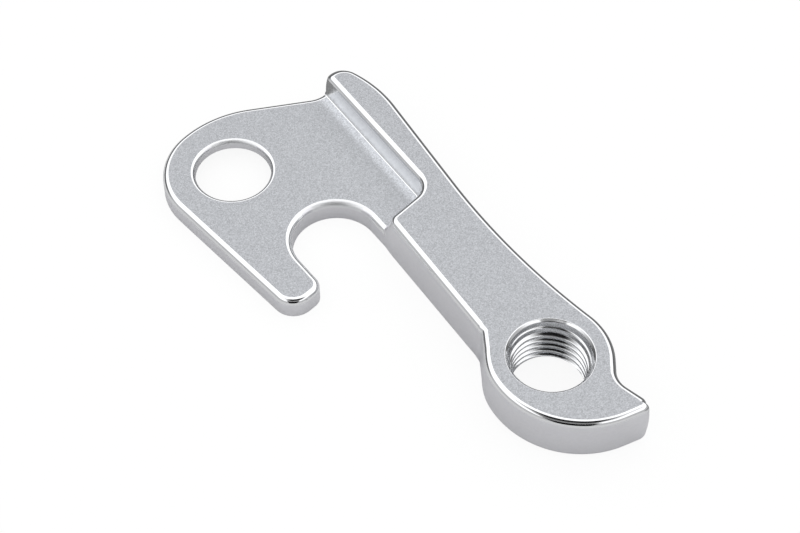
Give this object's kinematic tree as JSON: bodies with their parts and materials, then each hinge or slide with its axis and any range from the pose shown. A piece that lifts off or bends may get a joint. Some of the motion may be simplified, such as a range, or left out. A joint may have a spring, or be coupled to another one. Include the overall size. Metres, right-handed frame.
{
  "type": "derailleur hanger",
  "caption": "Bicycle derailleur hanger: a flat plate with a bolt hole and a hooked axle slot, and a thicker arm that ends in a threaded boss with a stop tab.",
  "frame": {"origin": "on the axis of the threaded hole, in the plane of the flat back", "axes": "+Z from the flat back to the stepped face, along the threaded hole; +X from the bolt hole's end towards the boss; +Y towards the horn at the arm's upper end"},
  "size_m": [0.0585, 0.0555, 0.0068],
  "materials": {
    "metal": "satin"
  },
  "bodies": {
    "root": {"hanger": "metal"}
  },
  "joints": []
}
